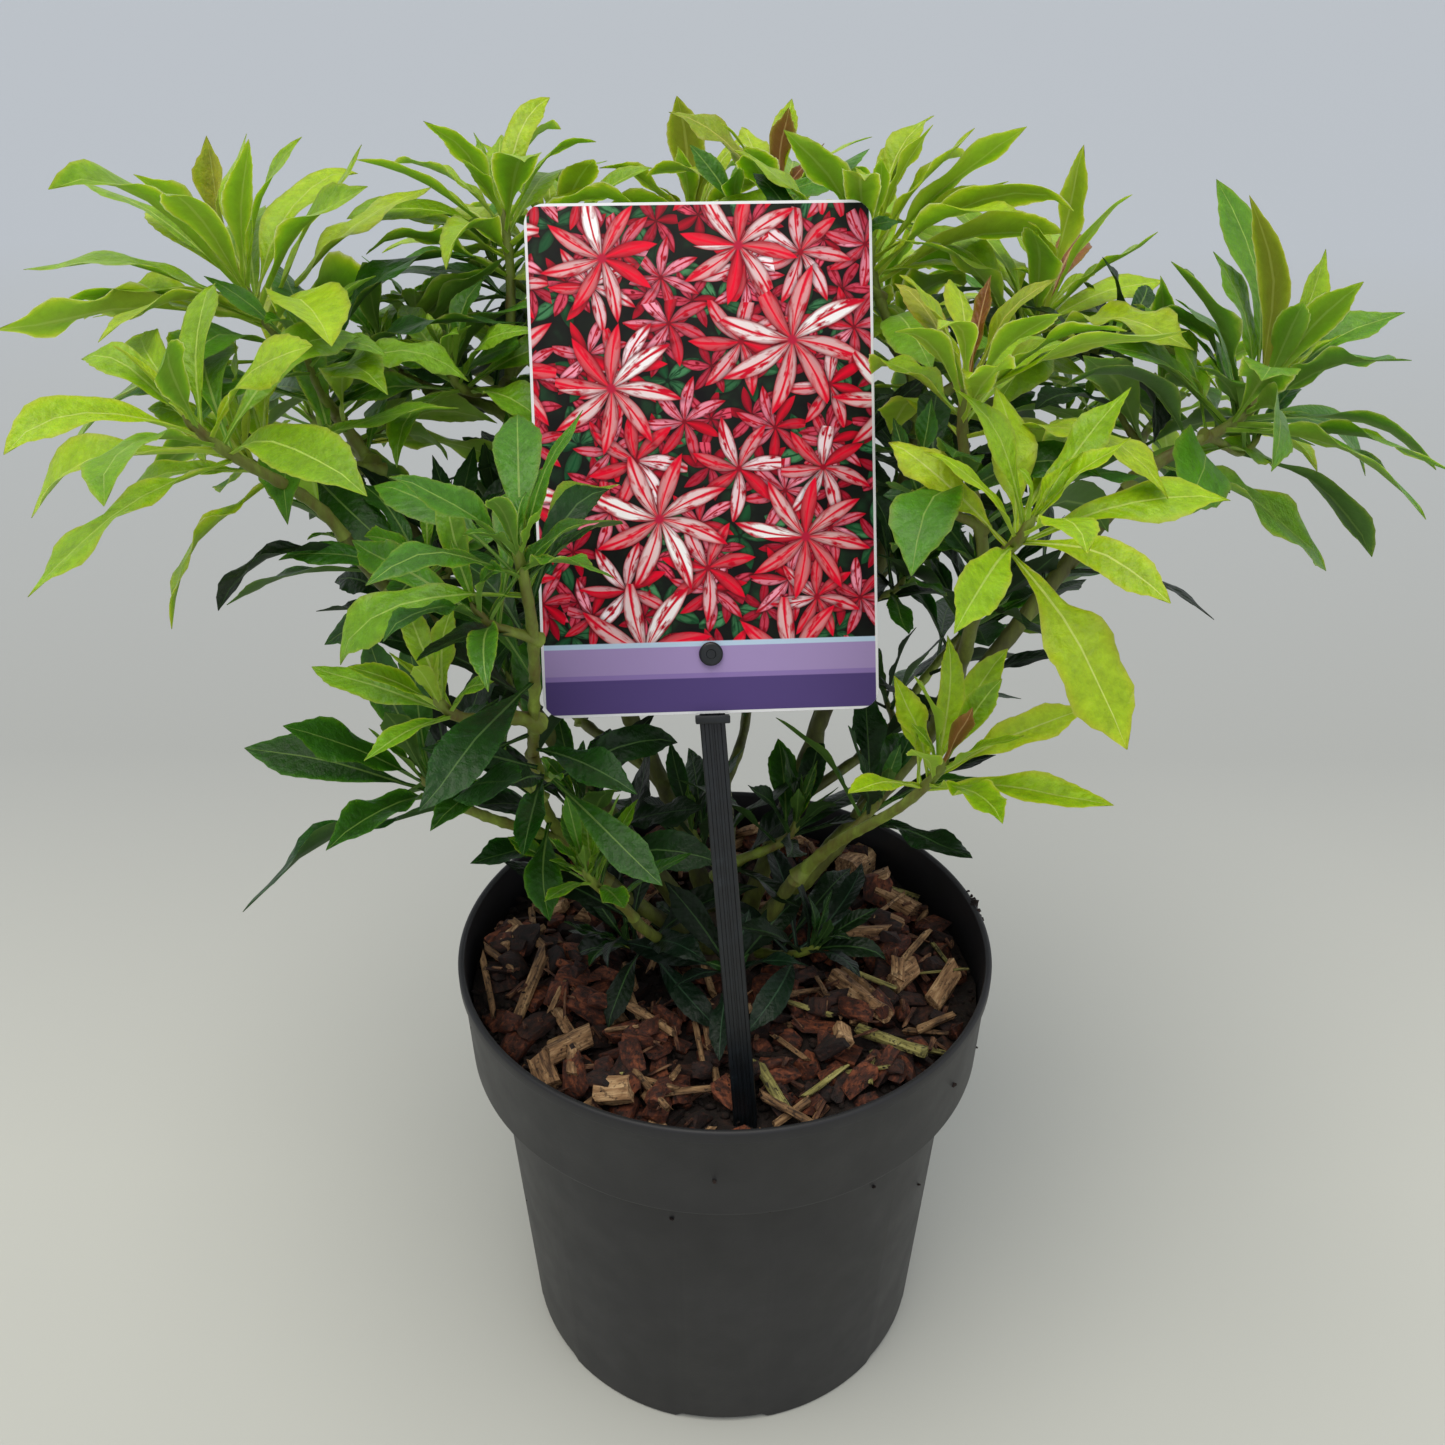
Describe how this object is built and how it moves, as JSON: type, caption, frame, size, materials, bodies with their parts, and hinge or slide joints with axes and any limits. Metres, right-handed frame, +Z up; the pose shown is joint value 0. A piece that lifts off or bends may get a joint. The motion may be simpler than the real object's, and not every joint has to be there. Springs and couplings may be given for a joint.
{
  "type": "potted pieris shrub",
  "caption": "Young evergreen shrub with whorled lance-shaped leaves on forking stems, in a round nursery pot of bark mulch with a picture tag.",
  "frame": {"origin": "middle of the pot's flat underside", "axes": "+Z up the plant, -Y the front that the tag faces, +X to the right seen from the front"},
  "size_m": [0.4164, 0.327, 0.437],
  "materials": {
    "pot_plastic": "matte charcoal plastic",
    "bark_mulch": "loose bark and dark potting mix",
    "crown_bark": "rough brown bark",
    "bough_bark": "smooth olive-green young bark",
    "leaf_lime": "leathery leaves with a soft sheen",
    "leaf_fresh": "leathery leaves with a soft sheen",
    "leaf_dark": "leathery leaves with a soft sheen",
    "leaf_mid": "leathery leaves with a soft sheen",
    "printed_card": null,
    "stem_plastic": "smooth blue-black plastic"
  },
  "bodies": {
    "root": {"pot": "pot_plastic", "mulch": "bark_mulch", "root_crown": "crown_bark", "bough_left": "bough_bark", "bough_left_front": "bough_bark", "bough_top_left": "bough_bark", "bough_back_left": "bough_bark", "bough_low_back_left": "bough_bark", "bough_back": "bough_bark", "bough_centre": "bough_bark", "bough_low_back": "bough_bark", "bough_top_right": "bough_bark", "bough_back_right": "bough_bark", "bough_low_back_right": "bough_bark", "bough_right": "bough_bark", "bough_front_right": "bough_bark", "bough_inner_right": "bough_bark", "bough_core": "bough_bark", "bough_low_right": "bough_bark", "bough_front_left": "bough_bark", "bough_low_front": "bough_bark", "foliage_left": "leaf_lime", "foliage_left_front": "leaf_lime", "foliage_top_left": "leaf_lime", "foliage_back_left": "leaf_fresh", "foliage_low_back_left": "leaf_dark", "foliage_back": "leaf_fresh", "foliage_centre": "leaf_lime", "foliage_low_back": "leaf_dark", "foliage_top_right": "leaf_lime", "foliage_back_right": "leaf_fresh", "foliage_low_back_right": "leaf_dark", "foliage_right": "leaf_lime", "foliage_front_right": "leaf_lime", "foliage_inner_right": "leaf_dark", "foliage_low_right": "leaf_mid", "foliage_core": "leaf_dark", "foliage_front_left": "leaf_mid", "foliage_low_front": "leaf_mid", "foliage_foot_left": "leaf_dark", "foliage_foot_front": "leaf_dark", "foliage_foot_right": "leaf_dark", "tag_card": "printed_card", "tag_stem": "stem_plastic"}
  },
  "joints": []
}
